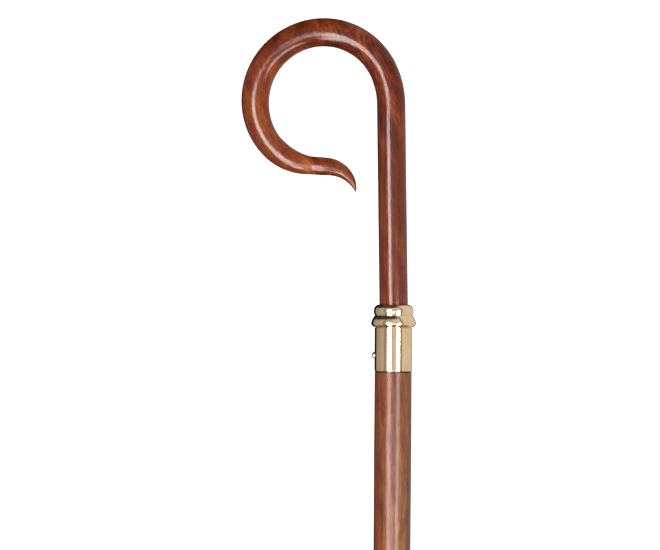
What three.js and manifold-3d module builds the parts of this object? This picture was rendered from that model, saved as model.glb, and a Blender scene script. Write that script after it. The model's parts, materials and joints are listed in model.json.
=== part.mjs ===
// A bishop's crosier: a bent wooden crook and a wooden shaft, joined by a two-part brass collar
// with a push-button catch. It lies on its side, resting on the collar, the foot and the loop.
// Millimetres, +Z up. The staff runs along +Y, the crook is at the +Y end and hooks towards -X.
import * as THREE from "three";
import Module from "manifold-3d";
import { mergeVertices } from "three/addons/utils/BufferGeometryUtils.js";

const wasm = await Module();
wasm.setup();

// Driving dimensions. Heights on the staff are measured from the seam between the two brass parts.
const SHAFT_RADIUS = 15;
const SEAM_TO_FOOT = 1550;
const GAP = 0.3; // clearance between neighbouring pieces

// The crook: the route of its centre line, upwards from the mouth of the ferrule
const CROOK_RADIUS = 11.5;
const SHANK_FOOT_RADIUS = 11;
const SHANK_LEAN = 1.12;
const SHANK_LENGTH = 161.3;
const LOOP_ARCS = [ // radius, turn in degrees
  [67.5, 23.6],
  [53.4, 80.5],
  [56.0, 100.5],
  [48.4, 60.6],
];
const HOOK_STRAIGHT = 13.1;
const HOOK_CURL = [24.8, -79.5];
const POINT_LENGTH = 40; // the rounded point at the hook's end
const POINT_RADIUS = 7.3;
const POINT_FULLNESS = 0.95; // below 1 the point is blunter
const NECK_END = 48; // distances from the tip: the narrow neck, the swell and the full section
const SWELL_END = 85;
const SWELL_RADIUS = 10.05;
const FULL_END = 150;
const CROOK_SIDES = 24;
const ARC_STEP = 4.6; // length of one step along a curved stretch

// The crook's ferrule
const MOUTH_HEIGHT = 18.4;
const MOUTH_RADIUS = 11.4;
const UPPER_BEAD_RADIUS = 16.05;
const UPPER_BEAD_HEIGHT = 13.6;
const GROOVE_RADIUS = 15.2;
const GROOVE_HEIGHT = 9.7;
const GROOVE_WIDTH = 0.3; // the flat line at the bottom of the groove
const LOWER_BEAD_RADIUS = 18.15;
const LOWER_BEAD_HEIGHT = 3.5;
const SEAM_RADIUS = 14.8;
const CUP_FLOOR = 5;
const CUP_FLOOR_THICKNESS = 2;
const SPIGOT_LENGTH = 28;
const SPIGOT_BORE = 10.2;
const FLARE_STEPS = 7;

// The shaft's sleeve and the catch in it
const SLEEVE_RADIUS = 15.2;
const SLEEVE_BORE = 13.5;
const SLEEVE_LENGTH = 35.3;
const EDGE = 0.5; // small bevels on the sleeve's ends
const CATCH_DEPTH = 22.5;
const BUTTON_RADIUS = 2.7;
const BUTTON_HEIGHT = 2.35; // proud of the sleeve
const FLANGE_RADIUS = 3.8;
const FLANGE_THICKNESS = 1;
const FLANGE_SEAT = 9.1; // the flange's outer face, from the staff's axis

// The shaft and its foot
const SWELL_DEPTH = 100; // the shaft is thickest this far below the seam
const SWELL_EXTRA = 0.08;
const SHAFT_FOOT_RADIUS = 12.2;
const FOOT_SHOULDER = 1; // step where the shaft enters the foot's cap
const FOOT_RADIUS = 13.2;
const FOOT_LENGTH = 45;
const FOOT_FLOOR = 4;
const FOOT_FLAT_RADIUS = 10.5;
const FOOT_ROUNDING = 2.7;

const ROUND_SIDES = 48;
const WOOD_SIDES = 36;
const HOLE_SIDES = 16;
const BUTTON_SIDES = 20;
const MERGE_DISTANCE = 1e-4;
const RADIANS = Math.PI / 180;

const woodMaterial = (color) => new THREE.MeshStandardMaterial({ color, roughness: 0.3 });
const brassMaterial = () =>
  new THREE.MeshStandardMaterial({ color: 0xd8b988, roughness: 0.15, metalness: 1 });

// ---------- shared helpers ----------

function named(name, geometry, material) {
  const mesh = new THREE.Mesh(geometry, material);
  mesh.name = name;
  return mesh;
}

// A solid of revolution about +Y, from [radius, height] pairs listed from the bottom up.
function turned(profile, sides) {
  const points = profile.map(([r, y]) => new THREE.Vector2(Math.max(r, 0), y));
  return new THREE.LatheGeometry(points, sides);
}

// Part of an ellipse between two angles, as [radius, height] pairs.
function arc(centreR, centreY, radiusR, radiusY, fromDegrees, toDegrees, steps) {
  return Array.from({ length: steps + 1 }, (_, i) => {
    const angle = (fromDegrees + ((toDegrees - fromDegrees) * i) / steps) * RADIANS;
    return [centreR + radiusR * Math.cos(angle), centreY + radiusY * Math.sin(angle)];
  });
}

const smooth = (t) => t * t * (3 - 2 * t);
const mix = (a, b, t) => a + (b - a) * t;

function toSolid(geometry) {
  const bare = geometry.clone();
  bare.deleteAttribute("normal");
  bare.deleteAttribute("uv");
  const merged = mergeVertices(bare, MERGE_DISTANCE);
  return new wasm.Manifold(
    new wasm.Mesh({
      numProp: 3,
      vertProperties: new Float32Array(merged.attributes.position.array),
      triVerts: new Uint32Array(merged.index.array),
    }),
  );
}

function toGeometry(solid) {
  const mesh = solid.getMesh();
  const geometry = new THREE.BufferGeometry();
  geometry.setAttribute("position", new THREE.BufferAttribute(mesh.vertProperties, 3));
  geometry.setIndex(new THREE.BufferAttribute(mesh.triVerts, 1));
  geometry.computeVertexNormals();
  return geometry;
}

// A turned shape laid across the staff at the catch's height: its axis points out towards -X.
function atCatch(profile, sides) {
  return turned(profile, sides).rotateZ(Math.PI / 2).translate(0, -CATCH_DEPTH, 0);
}

// Cuts the catch's round hole from the staff's axis out through one wall.
function withCatchHole(geometry) {
  const radius = BUTTON_RADIUS + GAP;
  const reach = SLEEVE_RADIUS + BUTTON_HEIGHT;
  const hole = atCatch([[0, 0], [radius, 0], [radius, reach], [0, reach]], HOLE_SIDES);
  return toGeometry(toSolid(geometry).subtract(toSolid(hole)));
}

// ---------- the crook ----------

// Walks the centre line and returns stations: place, heading and distance along the route.
function crookStations() {
  const stations = [];
  let x = 0;
  let y = CUP_FLOOR + GAP;
  let heading = Math.PI / 2;
  let run = 0;
  const add = () => stations.push({ x, y, heading, run });
  const go = (length, steps) => {
    for (let i = 0; i < steps; i++) {
      x += (Math.cos(heading) * length) / steps;
      y += (Math.sin(heading) * length) / steps;
      run += length / steps;
      add();
    }
  };
  const bend = (radius, degrees) => {
    const turn = degrees * RADIANS;
    const steps = Math.ceil((radius * Math.abs(turn)) / ARC_STEP);
    const chord = 2 * radius * Math.sin(Math.abs(turn) / steps / 2);
    for (let i = 0; i < steps; i++) {
      heading += turn / steps / 2;
      x += Math.cos(heading) * chord;
      y += Math.sin(heading) * chord;
      heading += turn / steps / 2;
      run += (radius * Math.abs(turn)) / steps;
      add();
    }
  };
  add();
  go(MOUTH_HEIGHT - CUP_FLOOR - GAP, 1);
  heading += SHANK_LEAN * RADIANS;
  go(SHANK_LENGTH, 6);
  LOOP_ARCS.forEach(([radius, degrees]) => bend(radius, degrees));
  go(HOOK_STRAIGHT, 3);
  bend(...HOOK_CURL);
  return stations;
}

// The crook's radius at a distance from the tip
function crookRadius(fromTip) {
  if (fromTip < POINT_LENGTH) {
    return POINT_RADIUS * Math.sin((Math.PI / 2) * (fromTip / POINT_LENGTH) ** POINT_FULLNESS);
  }
  if (fromTip < NECK_END) return POINT_RADIUS;
  if (fromTip < SWELL_END) {
    const t = (fromTip - NECK_END) / (SWELL_END - NECK_END);
    return mix(POINT_RADIUS, SWELL_RADIUS, Math.sin((t * Math.PI) / 2));
  }
  const t = Math.min(1, (fromTip - SWELL_END) / (FULL_END - SWELL_END));
  return mix(SWELL_RADIUS, CROOK_RADIUS, Math.sin((t * Math.PI) / 2));
}

const STATIONS = crookStations();
const CROOK_RUN = STATIONS[STATIONS.length - 1].run;

// A ring of points round each station, a disc at the foot end and a single point at the tip.
function makeCrook() {
  const positions = [];
  const index = [];
  const last = STATIONS.length - 1;
  STATIONS.slice(0, last).forEach(({ x, y, heading, run }, i) => {
    const radius = i < 2 ? SHANK_FOOT_RADIUS : crookRadius(CROOK_RUN - run);
    for (let side = 0; side < CROOK_SIDES; side++) {
      const angle = (2 * Math.PI * side) / CROOK_SIDES;
      const across = radius * Math.cos(angle);
      const up = radius * Math.sin(angle);
      positions.push(x + across * Math.sin(heading), y - across * Math.cos(heading), up);
    }
  });
  const ring = (i, side) => i * CROOK_SIDES + (side % CROOK_SIDES);
  const footCentre = positions.length / 3;
  positions.push(STATIONS[0].x, STATIONS[0].y, 0);
  const tip = footCentre + 1;
  positions.push(STATIONS[last].x, STATIONS[last].y, 0);
  for (let side = 0; side < CROOK_SIDES; side++) {
    for (let i = 0; i < last - 1; i++) {
      index.push(ring(i, side), ring(i + 1, side), ring(i, side + 1));
      index.push(ring(i, side + 1), ring(i + 1, side), ring(i + 1, side + 1));
    }
    index.push(footCentre, ring(0, side), ring(0, side + 1));
    index.push(tip, ring(last - 1, side + 1), ring(last - 1, side));
  }
  const geometry = new THREE.BufferGeometry();
  geometry.setAttribute("position", new THREE.Float32BufferAttribute(positions, 3));
  geometry.setIndex(index);
  geometry.computeVertexNormals();
  return geometry;
}

// ---------- the brass collar ----------

// Outside: the rounded lower bead, its flare up to the groove, and the upper bead.
function makeCrookFerrule() {
  const flare = Array.from({ length: FLARE_STEPS - 1 }, (_, i) => {
    const t = (i + 1) / FLARE_STEPS;
    const height = mix(LOWER_BEAD_HEIGHT, GROOVE_HEIGHT, t);
    return [mix(LOWER_BEAD_RADIUS, GROOVE_RADIUS, smooth(t)), height];
  });
  const spigotRadius = SLEEVE_BORE - GAP;
  const cupRadius = SHANK_FOOT_RADIUS + GAP;
  const beadRound = LOWER_BEAD_RADIUS - SEAM_RADIUS;
  const profile = [
    [0, CUP_FLOOR - CUP_FLOOR_THICKNESS],
    [SPIGOT_BORE, CUP_FLOOR - CUP_FLOOR_THICKNESS],
    [SPIGOT_BORE, -SPIGOT_LENGTH],
    [spigotRadius, -SPIGOT_LENGTH],
    [spigotRadius, GAP / 2],
    ...arc(SEAM_RADIUS, LOWER_BEAD_HEIGHT, beadRound, LOWER_BEAD_HEIGHT - GAP / 2, -90, 0, 6),
    ...flare,
    [GROOVE_RADIUS, GROOVE_HEIGHT],
    ...arc(GROOVE_RADIUS, UPPER_BEAD_HEIGHT, UPPER_BEAD_RADIUS - GROOVE_RADIUS,
      UPPER_BEAD_HEIGHT - GROOVE_HEIGHT - GROOVE_WIDTH, -90, 0, 3),
    ...arc(MOUTH_RADIUS, UPPER_BEAD_HEIGHT, UPPER_BEAD_RADIUS - MOUTH_RADIUS,
      MOUTH_HEIGHT - UPPER_BEAD_HEIGHT, 0, 90, 6).slice(1),
    [cupRadius, CUP_FLOOR],
    [0, CUP_FLOOR],
  ];
  return withCatchHole(turned(profile, ROUND_SIDES));
}

function makeShaftSleeve() {
  const profile = [
    [SLEEVE_BORE, -SLEEVE_LENGTH],
    [SLEEVE_RADIUS - EDGE, -SLEEVE_LENGTH],
    [SLEEVE_RADIUS, -SLEEVE_LENGTH + EDGE],
    [SLEEVE_RADIUS, -EDGE - GAP / 2],
    [SLEEVE_RADIUS - EDGE, -GAP / 2],
    [SLEEVE_BORE, -GAP / 2],
    [SLEEVE_BORE, -SLEEVE_LENGTH],
  ];
  return withCatchHole(turned(profile, ROUND_SIDES));
}

// A stem with a domed end, held in by the flange behind the spigot's wall.
function makeCatchButton() {
  const domeBase = SLEEVE_RADIUS + BUTTON_HEIGHT - BUTTON_RADIUS;
  return atCatch([
    [0, FLANGE_SEAT - FLANGE_THICKNESS],
    [FLANGE_RADIUS, FLANGE_SEAT - FLANGE_THICKNESS],
    [FLANGE_RADIUS, FLANGE_SEAT],
    [BUTTON_RADIUS, FLANGE_SEAT],
    ...arc(0, domeBase, BUTTON_RADIUS, BUTTON_RADIUS, 0, 90, 5),
  ], BUTTON_SIDES);
}

// ---------- the shaft ----------

function makeShaft() {
  const tenonRadius = SLEEVE_BORE - GAP;
  const tenonTop = -SPIGOT_LENGTH - 2 * GAP;
  const shoulder = -SLEEVE_LENGTH - GAP;
  const footShoulder = -SEAM_TO_FOOT + FOOT_LENGTH + GAP;
  const footTenonRadius = SHAFT_FOOT_RADIUS - FOOT_SHOULDER;
  return turned([
    [0, -SEAM_TO_FOOT + FOOT_FLOOR + GAP],
    [footTenonRadius, -SEAM_TO_FOOT + FOOT_FLOOR + GAP],
    [footTenonRadius, footShoulder],
    [SHAFT_FOOT_RADIUS, footShoulder],
    [SHAFT_RADIUS + SWELL_EXTRA, -SWELL_DEPTH],
    [SHAFT_RADIUS - SWELL_EXTRA, shoulder],
    [tenonRadius, shoulder],
    [tenonRadius, tenonTop],
    [0, tenonTop],
  ], WOOD_SIDES);
}

function makeFootFerrule() {
  const bore = SHAFT_FOOT_RADIUS - FOOT_SHOULDER + GAP;
  const top = -SEAM_TO_FOOT + FOOT_LENGTH;
  return turned([
    [0, -SEAM_TO_FOOT],
    ...arc(FOOT_FLAT_RADIUS, -SEAM_TO_FOOT + FOOT_ROUNDING, FOOT_RADIUS - FOOT_FLAT_RADIUS,
      FOOT_ROUNDING, -90, 0, 4),
    [FOOT_RADIUS, top - EDGE],
    [FOOT_RADIUS - EDGE, top],
    [bore, top],
    [bore, -SEAM_TO_FOOT + FOOT_FLOOR],
    [0, -SEAM_TO_FOOT + FOOT_FLOOR],
  ], WOOD_SIDES);
}

// ---------- lying down ----------

// The staff rests on the collar's lower bead and the foot, which sets its pitch, and rolls until
// the loop meets the ground as well.
const beadToFoot = SEAM_TO_FOOT - FOOT_ROUNDING + LOWER_BEAD_HEIGHT;
const pitch = Math.atan((LOWER_BEAD_RADIUS - FOOT_RADIUS) / beadToFoot);
const loopStations = STATIONS.filter(({ x }) => x < -2 * CROOK_RADIUS);
const rollAt = ({ x, y, run }) => {
  const axisHeight = LOWER_BEAD_RADIUS + (y - LOWER_BEAD_HEIGHT) * Math.tan(pitch);
  return Math.asin((axisHeight - crookRadius(CROOK_RUN - run)) / -x);
};
const roll = Math.min(...loopStations.map(rollAt));

const staff = new THREE.Group();
staff.add(
  named("crook", makeCrook(), woodMaterial(0x82412a)),
  named("crook_ferrule", makeCrookFerrule(), brassMaterial()),
  named("shaft_sleeve", makeShaftSleeve(), brassMaterial()),
  named("catch_button", makeCatchButton(), brassMaterial()),
  named("shaft", makeShaft(), woodMaterial(0x875541)),
  named("foot_ferrule", makeFootFerrule(), brassMaterial()),
);
staff.rotation.y = -roll;

const pitched = new THREE.Group();
pitched.add(staff);
pitched.rotation.x = pitch;

// The origin is under the middle of the whole crosier's box.
pitched.updateMatrixWorld(true);
const box = new THREE.Box3().setFromObject(pitched, true);
const middle = box.getCenter(new THREE.Vector3());
pitched.position.set(-middle.x, -middle.y, -box.min.z);

const crosier = new THREE.Group();
crosier.add(pitched);

export default crosier;
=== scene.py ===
# A bishop's crosier of polished wood and brass, lying on a pale studio floor.
# Sizes are in millimetres in the staff's own frame: its origin is on the staff's axis at the seam
# between the two brass parts, +Y runs up the staff, the crook hooks towards -X and +Z is up.
import json
import math
import bpy
from mathutils import Matrix, Vector


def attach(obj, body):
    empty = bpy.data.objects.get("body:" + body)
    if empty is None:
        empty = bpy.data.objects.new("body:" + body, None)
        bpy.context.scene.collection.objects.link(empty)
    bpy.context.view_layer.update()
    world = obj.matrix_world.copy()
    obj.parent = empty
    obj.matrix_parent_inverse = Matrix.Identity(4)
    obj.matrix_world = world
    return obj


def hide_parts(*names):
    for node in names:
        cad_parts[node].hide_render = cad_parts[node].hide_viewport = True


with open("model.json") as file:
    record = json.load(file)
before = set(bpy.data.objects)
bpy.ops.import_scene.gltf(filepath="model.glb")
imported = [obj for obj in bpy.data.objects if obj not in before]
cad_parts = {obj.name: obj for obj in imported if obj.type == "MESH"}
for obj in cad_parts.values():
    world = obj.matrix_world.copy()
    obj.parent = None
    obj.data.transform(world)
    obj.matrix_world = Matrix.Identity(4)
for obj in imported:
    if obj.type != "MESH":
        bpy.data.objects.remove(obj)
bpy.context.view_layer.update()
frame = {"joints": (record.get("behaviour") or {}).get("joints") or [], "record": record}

MM = 0.001
GAP = 0.3  # clearance between neighbouring pieces
SEAM_TO_FOOT = 1550
SHAFT_RADIUS = 15

# ---------- the staff's own frame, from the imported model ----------

foot_mount = next(m for m in frame["record"]["mounts"] if m["name"] == "foot_end")
press_joint = next(j for j in frame["joints"] if j["name"] == "catch_press")
UP_STAFF = -Vector(foot_mount["axis"]).normalized()
INWARDS = Vector(press_joint["axis"]).normalized()
SEAM = Vector(foot_mount["pos_m"]) + UP_STAFF * SEAM_TO_FOOT * MM
STAFF = Matrix((INWARDS, UP_STAFF, INWARDS.cross(UP_STAFF))).transposed().to_4x4()
STAFF = Matrix.Translation(SEAM) @ STAFF @ Matrix.Scale(MM, 4)


def mix(a, b, t):
    """The value a part t of the way from a to b."""
    return a + (b - a) * t


# ---------- shading ----------


class Value:
    """A number that changes over a surface. Sums and products of it add Math nodes."""

    def __init__(self, finish, socket):
        self.finish, self.socket = finish, socket

    def _math(self, operation, first, second):
        return self.finish.add("ShaderNodeMath", {"operation": operation}, {0: first, 1: second})

    def __add__(self, other):
        return self._math("ADD", self, other)

    __radd__ = __add__

    def __sub__(self, other):
        return self._math("SUBTRACT", self, other)

    def __rsub__(self, other):
        return self._math("SUBTRACT", other, self)

    def __mul__(self, other):
        return self._math("MULTIPLY", self, other)

    __rmul__ = __mul__


class Finish:
    """A material's or the studio's node tree, with one method that adds any node."""

    def __init__(self, tree):
        self.tree = tree

    def add(self, kind, settings=None, inputs=None, output=0):
        node = self.tree.nodes.new(kind)
        for key, setting in (settings or {}).items():
            if key == "stops":
                stops = node.color_ramp.elements
                while len(stops) < len(setting):
                    stops.new(0.5)
                for stop, (place, colour) in zip(stops, setting):
                    stop.position, stop.color = place, (*colour, 1)
            else:
                setattr(node, key, setting)
        for key, value in (inputs or {}).items():
            if isinstance(value, Value):
                self.tree.links.new(value.socket, node.inputs[key])
            else:
                node.inputs[key].default_value = value
        return Value(self, node.outputs[output]) if node.outputs else node

    def ramp(self, factor, stops):
        return self.add("ShaderNodeValToRGB", {"stops": stops}, {"Fac": factor})

    def blend(self, factor, first, second):
        """Two colours through a Mix node."""
        settings = {"data_type": "RGBA", "blend_type": "MIX", "clamp_factor": True}
        return self.add("ShaderNodeMix", settings, {0: factor, 6: first, 7: second}, output=2)

    def step(self, value, low, high, to_low=0.0, to_high=1.0):
        """0 below low and 1 above high, eased between, or any other two levels."""
        inputs = {"Value": value, "From Min": low, "From Max": high, "To Min": to_low, "To Max": to_high}
        return self.add("ShaderNodeMapRange", {"interpolation_type": "SMOOTHSTEP"}, inputs)

    def noise(self, place, detail=2.0, roughness=0.5, distortion=0.0):
        inputs = {"Vector": place, "Scale": 1.0, "Detail": detail, "Roughness": roughness}
        return self.add("ShaderNodeTexNoise", None, {**inputs, "Distortion": distortion})


class Surface(Finish):
    """A Principled material on Object coordinates, centred on the staff's seam."""

    def __init__(self, name, **constants):
        self.material = bpy.data.materials.new(name)
        self.material.use_nodes = True
        super().__init__(self.material.node_tree)
        self.shader = self.tree.nodes["Principled BSDF"]
        for key, value in constants.items():
            self.shader.inputs[key.replace("_", " ")].default_value = value
        self.place = self.add("ShaderNodeTexCoord", output="Object")

    def grain(self, sizes, lean=0.0, shift=(0, 0, 0)):
        """Pattern space in which one unit is the given size in mm, its long way leaning off the staff."""
        where = [s + MM * d for s, d in zip(SEAM, shift)]
        inputs = {"Vector": self.place, "Location": where, "Rotation": (0, 0, math.radians(lean)),
                  "Scale": [size * MM for size in sizes]}
        return self.add("ShaderNodeMapping", {"vector_type": "TEXTURE"}, inputs)

    def split(self, vector):
        """The three numbers of a vector."""
        node = self.add("ShaderNodeSeparateXYZ", None, {0: vector}).socket.node
        return [Value(self, socket) for socket in node.outputs]

    def set(self, **links):
        for key, value in links.items():
            self.tree.links.new(value.socket, self.shader.inputs[key.replace("_", " ")])
        return self.material

    def bump(self, height, depth):
        inputs = {"Height": height, "Distance": depth * MM, "Strength": 1.0}
        return self.add("ShaderNodeBump", None, inputs)

    def gloss(self, wear, smooth, dull):
        """Roughness from smooth to dull as the wear goes from 0 to 1."""
        inputs = {"Value": wear, "To Min": smooth, "To Max": dull}
        return self.add("ShaderNodeMapRange", None, inputs)


def crook_wood():
    """Lacquered reddish heartwood: dark veins cross the loop, and the limb is mottled with orange.
    Painted shade darkens it at the collar's mouth.
    """
    s = Surface("crook wood", IOR=1.45, Specular_IOR_Level=0.31)
    lean = 24  # the grain runs this many degrees off the staff's axis
    broad = s.noise(s.grain((13, 60, 13), lean, (140, 0, 30)), detail=3, distortion=0.6)
    mottle = s.noise(s.grain((5, 4.2, 5), lean, (30, 60, 0)), detail=3, roughness=0.6, distortion=0.7)
    veins = s.noise(s.grain((1.9, 30, 1.9), lean, (0, 90, 70)), detail=4, roughness=0.62, distortion=0.5)
    fibre = s.noise(s.grain((0.8, 10, 0.8), lean), detail=3, roughness=0.65)
    pores = s.noise(s.grain((0.5, 2.8, 0.5), lean, (50, 0, 0)), detail=1)
    across, along, _ = s.split(s.grain((100, 100, 100)))  # in hundreds of mm from the seam
    lower_loop = (1 - s.step(along, 1.35, 1.85)) * (1 - s.step(across, -0.55, -0.20))
    shoulder = s.step(along, 1.50, 2.00) * s.step(across, -0.85, -0.45)
    crown = s.step(along, 2.05, 2.35)
    tone = broad * 0.50 + mottle * 0.27 + veins * 0.23 + lower_loop * 0.055 - crown * 0.025
    colour = s.ramp(tone, [
        (0.37, (0.085, 0.0110, 0.0020)),
        (0.44, (0.205, 0.0270, 0.0050)),
        (0.50, (0.330, 0.0520, 0.0105)),
        (0.57, (0.440, 0.0880, 0.0170)),
        (0.66, (0.660, 0.1980, 0.0360)),
    ])
    dark_veins = s.step(veins, 0.48, 0.60) * (0.42 + shoulder * 0.44)
    colour = s.blend(dark_veins, colour, (0.055, 0.008, 0.003, 1))
    straight = s.grain((2.6, 90, 2.6), -1.2, (0, 0, 11))
    long_grain = s.noise(straight, detail=4, roughness=0.6, distortion=0.4)
    calm = s.ramp(long_grain * 0.6 + broad * 0.25 + fibre * 0.15 + (0.5 - across) * 0.02, [
        (0.38, (0.130, 0.0240, 0.0120)),
        (0.50, (0.215, 0.0430, 0.0180)),
        (0.62, (0.340, 0.0840, 0.0280)),
    ])
    plum = s.step(across + (long_grain - 0.5) * 0.12, -0.010, 0.050)
    calm = s.blend(plum * 0.55, calm, (0.165, 0.036, 0.022, 1))
    shank = (1 - s.step(along, 1.20, 1.95)) * s.step(across, -0.45, -0.30)
    colour = s.blend(shank * 0.85, colour, calm)
    spots = s.step(mottle, 0.54, 0.66) * (0.50 - shoulder * 0.20) * (1 - shank * 0.7)
    colour = s.blend(spots, colour, (0.080, 0.012, 0.004, 1))
    colour = s.blend(s.step(fibre, 0.42, 0.66) * 0.50, colour, (0.085, 0.014, 0.005, 1))
    # painted shade: the wood darkened in a band just above the collar's mouth, where it goes into the cup
    painted_rim_shade = 1 - s.step(along, 0.184, 0.200)
    colour = s.blend(painted_rim_shade * 0.7, colour, (0.030, 0.006, 0.003, 1))
    pore = s.step(pores, 0.65, 0.73)
    colour = s.blend(pore * 0.65, colour, (0.020, 0.004, 0.002, 1))
    waves = s.noise(s.grain((7, 9, 7), lean, (0, 0, 20)), detail=1)
    gloss = s.gloss(fibre * 0.6 + mottle * 0.4, 0.09, 0.22)
    relief = s.bump(waves * 0.5 + veins * 0.16 + fibre * 0.09 - pore * 0.16, 0.30)
    return s.set(Base_Color=colour, Roughness=gloss, Normal=relief)


def shaft_wood():
    """Browner, straight-grained wood with a red stripe on the hook's side and a tan one opposite, and
    painted shade along its +X side and under the sleeve's rim.
    """
    s = Surface("shaft wood", IOR=1.45, Specular_IOR_Level=0.26)
    bands = s.noise(s.grain((6.5, 150, 6.5), 0.6, (0, 0, 40)), detail=3, roughness=0.55, distortion=0.4)
    lines = s.noise(s.grain((1.4, 46, 1.4), 0.8, (20, 0, 0)), detail=4, roughness=0.62, distortion=0.5)
    patches = s.noise(s.grain((8, 26, 8), 6, (0, 10, 0)), detail=3, roughness=0.6, distortion=0.6)
    fibre = s.noise(s.grain((0.5, 11, 0.5), 0.4), detail=3, roughness=0.6)
    pores = s.noise(s.grain((0.45, 4.0, 0.45), 0.3, (0, 0, 9)), detail=1)
    across, along, _ = s.split(s.grain((SHAFT_RADIUS, SHAFT_RADIUS, SHAFT_RADIUS)))
    tone = bands * 0.36 + lines * 0.32 + patches * 0.32
    red = s.ramp(tone, [
        (0.39, (0.155, 0.0270, 0.0120)),
        (0.50, (0.335, 0.0830, 0.0320)),
        (0.61, (0.490, 0.1480, 0.0520)),
    ])
    tan = s.ramp(tone, [
        (0.39, (0.175, 0.0520, 0.0210)),
        (0.50, (0.330, 0.1180, 0.0490)),
        (0.61, (0.500, 0.2200, 0.0860)),
    ])
    colour = s.blend(s.step(across + (bands - 0.5) * 1.4, -0.55, 0.15), red, tan)
    # painted shade: the wood darkened along its +X side, towards the edge that turns away from the light
    painted_edge_shade = s.step(across + (lines - 0.5) * 0.6, 0.62, 0.86)
    colour = s.blend(painted_edge_shade * 0.7, colour, (0.205, 0.074, 0.045, 1))
    colour = s.blend(s.step(lines, 0.50, 0.62) * 0.42, colour, (0.110, 0.029, 0.013, 1))
    colour = s.blend(s.step(fibre, 0.44, 0.64) * 0.42, colour, (0.125, 0.036, 0.017, 1))
    # painted shade: a thin dark band on the wood just below the sleeve's rim
    painted_rim_shade = s.step(along + (fibre - 0.5) * 0.12, -2.455, -2.415)
    colour = s.blend(painted_rim_shade * 0.8, colour, (0.030, 0.010, 0.006, 1))
    pore = s.step(pores, 0.64, 0.71)
    colour = s.blend(pore * 0.7, colour, (0.028, 0.008, 0.005, 1))
    waves = s.noise(s.grain((7, 22, 7), 0, (0, 30, 0)), detail=2)
    gloss = s.gloss(fibre * 0.6 + lines * 0.4, 0.13, 0.31)
    relief = s.bump(waves * 0.5 + lines * 0.10 + fibre * 0.11 - pore * 0.20, 0.26)
    return s.set(Base_Color=colour, Roughness=gloss, Normal=relief)


def polished_brass():
    """Pale mirror-polished brass with faint rub marks and a slight warm bloom."""
    s = Surface("polished brass", Metallic=1.0)
    bloom = s.noise(s.grain((9, 30, 9), 0, (5, 0, 0)), detail=3)
    rubs = s.noise(s.grain((0.8, 40, 0.8)), detail=3, roughness=0.7)
    colour = s.blend(s.step(bloom, 0.35, 0.70), (0.90, 0.68, 0.42, 1), (0.83, 0.60, 0.35, 1))
    gloss = s.gloss(rubs * 0.6 + bloom * 0.4, 0.03, 0.085)
    relief = s.bump(bloom * 0.5 + rubs * 0.045, 0.05)
    return s.set(Base_Color=colour, Roughness=gloss, Normal=relief)


# ---------- mesh helpers ----------

CREASE = 35  # degrees between two faces past which their edge is sharp
BRASS_SIDES = 128
WOOD_SIDES = 96
BUTTON_SIDES = 48
LONGEST_WALL = 2.5
RING_HOLD = 0.06
ON_AXIS = 1e-6


def add_piece(name, points, faces, material):
    """A smooth-shaded mesh at the origin, its place in its vertices; points are in the staff's frame."""
    mesh = bpy.data.meshes.new(name)
    mesh.from_pydata([STAFF @ Vector(p) for p in points], [], faces)
    return finish_mesh(name, mesh, material)


def finish_mesh(name, mesh, material, crease=CREASE):
    """Gives a mesh its material and shading and puts it in the scene."""
    mesh.materials.clear()
    mesh.materials.append(material)
    mesh.polygons.foreach_set("use_smooth", [True] * len(mesh.polygons))
    mesh.set_sharp_from_angle(angle=math.radians(crease))
    piece = bpy.data.objects.new(name, mesh)
    bpy.context.scene.collection.objects.link(piece)
    return piece


def arc(centre_r, centre_y, radius_r, radius_y, start, end, steps=14):
    """Part of an ellipse as (radius, height) pairs; angles in degrees."""
    turns = [math.radians(mix(start, end, i / steps)) for i in range(steps + 1)]
    return [(centre_r + radius_r * math.cos(a), centre_y + radius_y * math.sin(a)) for a in turns]


def with_stations(profile):
    """The profile with rings close to both ends of each long wall and evenly along it."""
    full = [profile[0]]
    for (r0, y0), (r1, y1) in zip(profile, profile[1:]):
        length = math.hypot(r1 - r0, y1 - y0)
        if length > LONGEST_WALL:
            inner = math.ceil(length / LONGEST_WALL)
            hold = RING_HOLD / length
            marks = [hold] + [i / inner for i in range(1, inner)] + [1 - hold]
            full += [(mix(r0, r1, t), mix(y0, y1, t)) for t in marks]
        full.append((r1, y1))
    return full


def turned(profile, sides, closed=False):
    """Points and outward faces of a profile turned about the staff's axis.

    The profile runs anticlockwise, with the axis on its left, and starts and ends on the axis or
    closes on itself.
    """
    points, rings = [], []
    for radius, height in profile:
        if radius < ON_AXIS:
            rings.append([len(points)] * sides)
            points.append((0, height, 0))
        else:
            first = len(points)
            rings.append(list(range(first, first + sides)))
            for i in range(sides):
                turn = 2 * math.pi * i / sides
                points.append((radius * math.sin(turn), height, radius * math.cos(turn)))
    faces = []
    following = rings[1:] + rings[:1] if closed else rings[1:]
    for low, high in zip(rings, following):
        for i in range(sides):
            j = (i + 1) % sides
            corners = [low[i], low[j], high[j], high[i]]
            faces.append([c for k, c in enumerate(corners) if c != corners[k - 1]])
    return points, faces


def across_staff(points, height):
    """Turns points so that their axis runs out of the staff's side towards -X at a height."""
    return [(-y, x + height, z) for x, y, z in points]


def cut(piece, cutter):
    """Cuts one mesh out of another and removes the cutter."""
    tool = piece.modifiers.new("cut", "BOOLEAN")
    tool.operation, tool.solver, tool.object = "DIFFERENCE", "EXACT", cutter
    view = bpy.context.evaluated_depsgraph_get()
    mesh = bpy.data.meshes.new_from_object(piece.evaluated_get(view))
    old = piece.data
    piece.modifiers.clear()
    piece.data = mesh
    mesh.name = piece.name
    bpy.data.meshes.remove(old)
    bpy.data.objects.remove(cutter)
    mesh.set_sharp_from_angle(angle=math.radians(CREASE))


# ---------- the crook ----------

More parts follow.
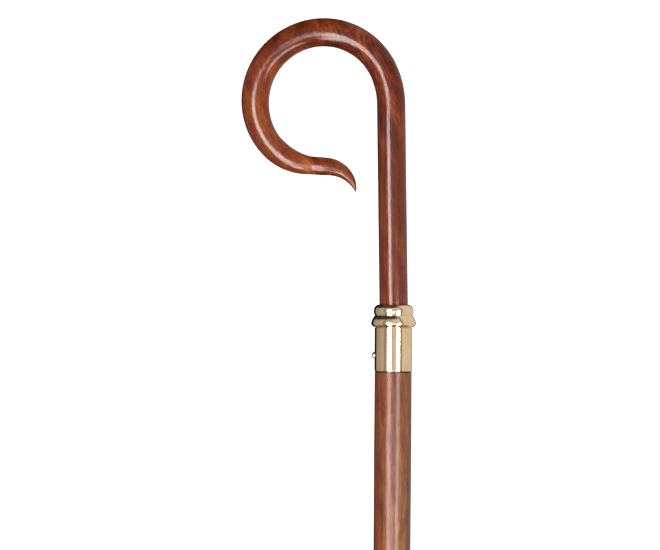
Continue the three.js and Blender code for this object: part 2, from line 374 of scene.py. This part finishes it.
CROOK_RADIUS = 11.5
SHANK_FOOT_RADIUS = 11
SHANK_LEAN = 1.12  # degrees towards the hook
SHANK_LENGTH = 161.3
LOOP_ARCS = [(67.5, 23.6), (53.4, 80.5), (56.0, 100.5), (48.4, 60.6)]  # radius and degrees of each
HOOK_STRAIGHT = 13.1
HOOK_CURL = (24.8, -79.5)
POINT_LENGTH = 40
POINT_RADIUS = 7.3
POINT_FULLNESS = 0.95
NECK_END, SWELL_END, FULL_END = 48, 85, 150  # distances from the hook's point
SWELL_RADIUS = 10.05
MOUTH_HEIGHT = 18.4
CUP_FLOOR = 5
SEATED = MOUTH_HEIGHT - CUP_FLOOR - GAP  # length of the shank inside the collar
ROUTE_STEP = 0.9
ROUTE_CREASE = 50
WELD = 1e-6


def crook_radius(from_tip):
    """The bar's radius at a distance from the hook's point."""
    if from_tip < POINT_LENGTH:
        return POINT_RADIUS * math.sin(math.pi / 2 * (from_tip / POINT_LENGTH) ** POINT_FULLNESS)
    if from_tip < SWELL_END:
        t = max(0, (from_tip - NECK_END) / (SWELL_END - NECK_END))
        return mix(POINT_RADIUS, SWELL_RADIUS, math.sin(t * math.pi / 2))
    t = min(1, (from_tip - SWELL_END) / (FULL_END - SWELL_END))
    return mix(SWELL_RADIUS, CROOK_RADIUS, math.sin(t * math.pi / 2))


def crook_route():
    """The centre line from the cup's floor to the hook's point, as (place, distance along it)."""
    x, y, heading, run = 0.0, CUP_FLOOR + GAP, math.pi / 2, 0.0
    route = [(x, y, run)]

    def go(length, turn=0.0):
        nonlocal x, y, heading, run
        steps = math.ceil(length / ROUTE_STEP)
        for _ in range(steps):
            half = turn / steps / 2
            chord = length / steps * (math.sin(half) / half if half else 1)
            heading += half
            x += math.cos(heading) * chord
            y += math.sin(heading) * chord
            heading += half
            run += length / steps
            route.append((x, y, run))

    def bend(radius, degrees):
        go(radius * abs(math.radians(degrees)), math.radians(degrees))

    go(SEATED)
    heading += math.radians(SHANK_LEAN)
    go(SHANK_LENGTH)
    for radius, degrees in LOOP_ARCS:
        bend(radius, degrees)
    go(HOOK_STRAIGHT)
    bend(*HOOK_CURL)
    return route


def bar_tree():
    """Geometry Nodes: a round bar swept along a line of points, as thick as each point says."""
    tree = bpy.data.node_groups.new("swept bar", "GeometryNodeTree")
    for name, kind in [("Line", "Geometry"), ("Sides", "Int"), ("Wood", "Material")]:
        tree.interface.new_socket(name, in_out="INPUT", socket_type="NodeSocket" + kind)
    tree.interface.new_socket("Bar", in_out="OUTPUT", socket_type="NodeSocketGeometry")
    new = tree.nodes.new
    source = new("NodeGroupInput")
    curve = new("GeometryNodeMeshToCurve")
    level = new("GeometryNodeSetCurveNormal")
    level.mode = "Z_UP"
    thickness = new("GeometryNodeInputNamedAttribute")
    thickness.inputs["Name"].default_value = "thickness"
    ring = new("GeometryNodeCurvePrimitiveCircle")
    ring.inputs["Radius"].default_value = 1.0
    sweep = new("GeometryNodeCurveToMesh")
    sweep.inputs["Fill Caps"].default_value = True
    weld = new("GeometryNodeMergeByDistance")
    weld.inputs["Distance"].default_value = WELD
    real = new("GeometryNodeRealizeInstances")
    coat = new("GeometryNodeSetMaterial")
    out = new("NodeGroupOutput")
    for giver, given, taker, taken in [
        (source, "Line", curve, "Mesh"),
        (curve, "Curve", level, "Curve"),
        (level, "Curve", sweep, "Curve"),
        (source, "Sides", ring, "Resolution"),
        (ring, "Curve", sweep, "Profile Curve"),
        (thickness, "Attribute", sweep, "Scale"),
        (sweep, "Mesh", weld, "Geometry"),
        (weld, "Geometry", real, "Geometry"),
        (real, "Geometry", coat, "Geometry"),
        (source, "Wood", coat, "Material"),
        (coat, "Geometry", out, "Bar"),
    ]:
        tree.links.new(giver.outputs[given], taker.inputs[taken])
    return tree


def make_crook(wood):
    route = crook_route()
    whole = route[-1][2]
    line = bpy.data.meshes.new("crook line")
    line.from_pydata([(x, y, 0) for x, y, _ in route], [(i, i + 1) for i in range(len(route) - 1)], [])
    thickness = line.attributes.new("thickness", "FLOAT", "POINT")
    radii = [SHANK_FOOT_RADIUS if run < SEATED - ROUTE_STEP else crook_radius(whole - run)
             for _, _, run in route]
    thickness.data.foreach_set("value", radii)
    carrier = bpy.data.objects.new("crook line", line)
    bpy.context.scene.collection.objects.link(carrier)
    sweep = carrier.modifiers.new("sweep", "NODES")
    sweep.node_group = bar_tree()
    sockets = {s.name: s.identifier for s in sweep.node_group.interface.items_tree if s.in_out == "INPUT"}
    sweep[sockets["Sides"]] = WOOD_SIDES
    sweep[sockets["Wood"]] = wood
    view = bpy.context.evaluated_depsgraph_get()
    mesh = bpy.data.meshes.new_from_object(carrier.evaluated_get(view))
    carrier.modifiers.clear()
    bpy.data.objects.remove(carrier)
    mesh.transform(STAFF)
    mesh.name = "polished_crook"
    return finish_mesh("polished_crook", mesh, wood, ROUTE_CREASE)


# ---------- the brass collar ----------

UPPER_BEAD = (16.05, 13.6)  # radius and height of each bead's widest line
LOWER_BEAD = (18.15, 3.5)
GROOVE = (15.2, 9.7)
GROOVE_WIDTH = 0.3
FLANK_RINGS = 20  # on the lower bead's flank, up to the groove
FLANK_FULLNESS = 1.5
MOUTH_RADIUS = 11.4
SEAM_RADIUS = 14.8
SPIGOT_LENGTH = 28
SPIGOT_BORE = 10.2
CUP_THICKNESS = 2
SLEEVE_RADIUS = 15.2
SLEEVE_BORE = 13.5
SLEEVE_LENGTH = 35.3
EDGE = 0.5  # rounding of the brass rims
EDGE_STEPS = 5
CATCH_DEPTH = 22.5
BUTTON_RADIUS = 2.7
BUTTON_HEIGHT = 2.35
DOME_STEPS = 16
FLANGE_RADIUS = 3.8
FLANGE_THICKNESS = 1
FLANGE_SEAT = 9.1


def catch_hole(brass):
    """A round cutter from the staff's axis out through one wall."""
    radius, reach = BUTTON_RADIUS + GAP, SLEEVE_RADIUS + BUTTON_HEIGHT
    points, faces = turned([(0, 0), (radius, 0), (radius, reach), (0, reach)], BUTTON_SIDES)
    return add_piece("catch hole", across_staff(points, -CATCH_DEPTH), faces, brass)


def make_crook_ferrule(brass):
    spigot = SLEEVE_BORE - GAP
    flank = []
    for i in range(1, FLANK_RINGS):
        t = i / FLANK_RINGS
        radius = mix(LOWER_BEAD[0], GROOVE[0], t ** FLANK_FULLNESS)
        flank.append((radius, mix(LOWER_BEAD[1], GROOVE[1], t)))
    lip_width, lip_height = UPPER_BEAD[0] - MOUTH_RADIUS, MOUTH_HEIGHT - UPPER_BEAD[1]
    lip = arc(MOUTH_RADIUS, UPPER_BEAD[1], lip_width, lip_height, 0, 90)
    profile = [
        (0, CUP_FLOOR - CUP_THICKNESS),
        (SPIGOT_BORE, CUP_FLOOR - CUP_THICKNESS),
        (SPIGOT_BORE, -SPIGOT_LENGTH),
        (spigot - EDGE, -SPIGOT_LENGTH),
        (spigot, -SPIGOT_LENGTH + EDGE),
        (spigot, GAP / 2),
        *arc(SEAM_RADIUS, LOWER_BEAD[1], LOWER_BEAD[0] - SEAM_RADIUS, LOWER_BEAD[1] - GAP / 2, -90, 0),
        *flank,
        GROOVE,
        *arc(GROOVE[0], UPPER_BEAD[1], UPPER_BEAD[0] - GROOVE[0],
             UPPER_BEAD[1] - GROOVE[1] - GROOVE_WIDTH, -90, 0),
        *lip[1:],
        (SHANK_FOOT_RADIUS + GAP, CUP_FLOOR),
        (0, CUP_FLOOR),
    ]
    piece = add_piece("beaded_ferrule", *turned(with_stations(profile), BRASS_SIDES), brass)
    cut(piece, catch_hole(brass))
    return piece


def make_shaft_sleeve(brass):
    top, bottom = -GAP / 2, -SLEEVE_LENGTH
    profile = [
        (SLEEVE_BORE, bottom),
        *arc(SLEEVE_RADIUS - EDGE, bottom + EDGE, EDGE, EDGE, -90, 0, EDGE_STEPS),
        *arc(SLEEVE_RADIUS - EDGE, top - EDGE, EDGE, EDGE, 0, 90, EDGE_STEPS),
        (SLEEVE_BORE, top),
    ]
    piece = add_piece("brass_sleeve", *turned(with_stations(profile), BRASS_SIDES, closed=True), brass)
    cut(piece, catch_hole(brass))
    return piece


def make_catch_button(brass):
    dome = SLEEVE_RADIUS + BUTTON_HEIGHT - BUTTON_RADIUS
    points, faces = turned([
        (0, FLANGE_SEAT - FLANGE_THICKNESS),
        (FLANGE_RADIUS, FLANGE_SEAT - FLANGE_THICKNESS),
        (FLANGE_RADIUS, FLANGE_SEAT),
        (BUTTON_RADIUS, FLANGE_SEAT),
        *arc(0, dome, BUTTON_RADIUS, BUTTON_RADIUS, 0, 90, DOME_STEPS),
    ], BUTTON_SIDES)
    return add_piece("domed_button", across_staff(points, -CATCH_DEPTH), faces, brass)


# ---------- the shaft and its foot ----------

SWELL_DEPTH = 100
SWELL_EXTRA = 0.08
SHAFT_RINGS = 90
SHAFT_FOOT_RADIUS = 12.2
FOOT_SHOULDER = 1
FOOT_RADIUS = 13.2
FOOT_LENGTH = 45
FOOT_FLOOR = 4
FOOT_FLAT_RADIUS = 10.5
FOOT_ROUNDING = 2.7


def make_shaft(wood):
    tenon = SLEEVE_BORE - GAP
    foot_tenon = SHAFT_FOOT_RADIUS - FOOT_SHOULDER
    shoulder = -SLEEVE_LENGTH - GAP
    foot_shoulder = -SEAM_TO_FOOT + FOOT_LENGTH + GAP
    body = []
    for i in range(SHAFT_RINGS + 1):
        t = i / SHAFT_RINGS
        radius = mix(SHAFT_FOOT_RADIUS, SHAFT_RADIUS + SWELL_EXTRA, t)
        body.append((radius, mix(foot_shoulder, -SWELL_DEPTH, t)))
    profile = [
        (0, -SEAM_TO_FOOT + FOOT_FLOOR + GAP),
        (foot_tenon, -SEAM_TO_FOOT + FOOT_FLOOR + GAP),
        (foot_tenon, foot_shoulder),
        *body,
        (SHAFT_RADIUS - SWELL_EXTRA, shoulder),
        (tenon, shoulder),
        (tenon, -SPIGOT_LENGTH - 2 * GAP),
        (0, -SPIGOT_LENGTH - 2 * GAP),
    ]
    return add_piece("turned_shaft", *turned(profile, WOOD_SIDES), wood)


def make_foot_ferrule(brass):
    top = -SEAM_TO_FOOT + FOOT_LENGTH
    bore = SHAFT_FOOT_RADIUS - FOOT_SHOULDER + GAP
    profile = [
        (0, -SEAM_TO_FOOT),
        *arc(FOOT_FLAT_RADIUS, -SEAM_TO_FOOT + FOOT_ROUNDING,
             FOOT_RADIUS - FOOT_FLAT_RADIUS, FOOT_ROUNDING, -90, 0),
        *arc(FOOT_RADIUS - EDGE, top - EDGE, EDGE, EDGE, 0, 90, EDGE_STEPS),
        (bore, top),
        (bore, -SEAM_TO_FOOT + FOOT_FLOOR),
        (0, -SEAM_TO_FOOT + FOOT_FLOOR),
    ]
    return add_piece("foot_cap", *turned(with_stations(profile), BRASS_SIDES), brass)


# ---------- the studio ----------

CAMERA_DISTANCE = 3.0  # metres, as is every size of the studio that isn't named in mm
CAMERA_SENSOR = 36
VIEW_WIDTH = 532  # mm that the camera takes in across, at the staff's axis
VIEW_CENTRE = (-51.2, 42.2)  # mm from the seam
CAMERA_ROLL = 0.4
FLOOR_REACH = 40
FLOOR_DROP = 0.2  # mm below the staff
FLOOR_GREY = 0.90
OVERHEAD_HEIGHT = 3.2
OVERHEAD_SIZE = (3.2, 4.5)
OVERHEAD_RADIANCE = 1.42
STRIPS = [  # name, height, degrees off the vertical, mm from the seam along the staff, radiance
    ("left strip", 0.5, (-36, -14.5), (-900, 203), 20.0),
    ("left strip top", 0.5, (-34, -14.5), (105, 205), 42.0),
    ("right strip", 0.5, (18, 37), (-900, 14), 15.0),
    ("far window", 1.5, (-16, 5), (-560, -190), 9.0),
]


def make_camera():
    data = bpy.data.cameras.new("camera")
    data.sensor_width = CAMERA_SENSOR
    data.lens = data.sensor_width * CAMERA_DISTANCE / (VIEW_WIDTH * MM)
    camera = bpy.data.objects.new("camera", data)
    bpy.context.scene.collection.objects.link(camera)
    roll = math.radians(CAMERA_ROLL)
    aim = Matrix.Rotation(roll, 3, "Z") @ Vector((*VIEW_CENTRE, 0)) * MM
    camera.location = SEAM + aim + Vector((0, 0, CAMERA_DISTANCE))
    camera.rotation_euler = (0, 0, roll)
    bpy.context.scene.camera = camera


def make_floor():
    """A pale, faintly lit sheet, which the brass and the lacquer don't mirror."""
    finish = Surface(
        "studio floor", Base_Color=(FLOOR_GREY, FLOOR_GREY, FLOOR_GREY, 1), Roughness=0.9,
        Specular_IOR_Level=0.1, Emission_Color=(1, 1, 1, 1), Emission_Strength=0.9)
    mesh = bpy.data.meshes.new("floor")
    corners = [(-1, -1), (1, -1), (1, 1), (-1, 1)]
    mesh.from_pydata([(x * FLOOR_REACH, y * FLOOR_REACH, 0) for x, y in corners], [], [(0, 1, 2, 3)])
    mesh.materials.append(finish.material)
    floor = bpy.data.objects.new("floor", mesh)
    floor.location.z = -FLOOR_DROP * MM
    floor.visible_glossy = False
    floor.visible_diffuse = False
    bpy.context.scene.collection.objects.link(floor)


def add_light(name, place, size, radiance, glossy, diffuse):
    """A level rectangular lamp of an even radiance, facing down."""
    data = bpy.data.lights.new(name, "AREA")
    data.shape = "RECTANGLE"
    data.size, data.size_y = size
    data.energy = radiance * math.pi * size[0] * size[1]
    light = bpy.data.objects.new(name, data)
    light.location = place
    light.visible_camera = False
    light.visible_glossy = glossy
    light.visible_diffuse = diffuse
    bpy.context.scene.collection.objects.link(light)


def add_strip(name, height, angles, span, radiance):
    """A long lamp that only reflections show, seen from the staff between two angles."""
    low, high = (height * math.tan(math.radians(a)) for a in angles)
    x = SEAM.x + (low + high) / 2
    y = SEAM.y + (span[0] + span[1]) / 2 * MM
    add_light(name, (x, y, height), (high - low, (span[1] - span[0]) * MM), radiance, True, False)


def make_lights():
    for row in STRIPS:
        add_strip(*row)
    add_light("overhead", (0, SEAM.y, OVERHEAD_HEIGHT), OVERHEAD_SIZE, OVERHEAD_RADIANCE, False, True)


def make_surroundings():
    """What the brass and the lacquer mirror: dimmer to the left, dark below and at the staff's ends."""
    world = bpy.data.worlds.new("studio")
    world.use_nodes = True
    bpy.context.scene.world = world
    room = Finish(world.node_tree)
    direction = room.add("ShaderNodeTexCoord", output="Generated")
    node = room.add("ShaderNodeSeparateXYZ", None, {0: direction}).socket.node
    x, y, z = (Value(room, socket) for socket in node.outputs)
    angle = room.add("ShaderNodeMath", {"operation": "ARCTAN2"}, {0: x, 1: z})
    degrees = angle * (180 / math.pi)  # off the vertical, across the staff
    level = room.step(degrees, -115, -65, 0.40, 0.54) + room.step(degrees, -20, 30, 0.0, 0.20)
    gap = room.step(degrees, -12, -6) * (1 - room.step(degrees, 6, 12))
    level = level + gap * 0.10
    left_band = room.step(degrees, -66, -59) * (1 - room.step(degrees, -49, -43))
    right_band = room.step(degrees, 38, 42) * (1 - room.step(degrees, 50, 57))
    level = level * (1 - left_band * 0.38) * (1 - right_band * 0.6)
    ahead = room.step(y - z * 0.35, 0.52, 0.68) * (1 - room.step(x, 0.10, 0.45))
    behind = room.step(y * -1, 0.55, 0.80)
    level = level * (1 - ahead * 0.9) * (1 - behind * 0.7)
    below = 1 - room.step(z + x * 0.2, -0.82, -0.72)
    level = level * (1 - below * 0.97)
    backdrop = world.node_tree.nodes["Background"]
    backdrop.inputs["Color"].default_value = (1, 0.985, 0.96, 1)
    world.node_tree.links.new(level.socket, backdrop.inputs["Strength"])


# ---------- putting it together ----------

bpy.context.scene.view_settings.view_transform = "Standard"
make_camera()
make_floor()
make_lights()
make_surroundings()

red_wood = crook_wood()
brown_wood = shaft_wood()
brass = polished_brass()

for piece, body, node, slot in [
    (make_crook(red_wood), "staff", "crook", "crook_wood"),
    (make_crook_ferrule(brass), "staff", "crook_ferrule", "polished_brass"),
    (make_shaft_sleeve(brass), "staff", "shaft_sleeve", "polished_brass"),
    (make_catch_button(brass), "button", "catch_button", "polished_brass"),
    (make_shaft(brown_wood), "staff", "shaft", "shaft_wood"),
    (make_foot_ferrule(brass), "staff", "foot_ferrule", "polished_brass"),
]:
    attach(piece, body)
    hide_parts(node)
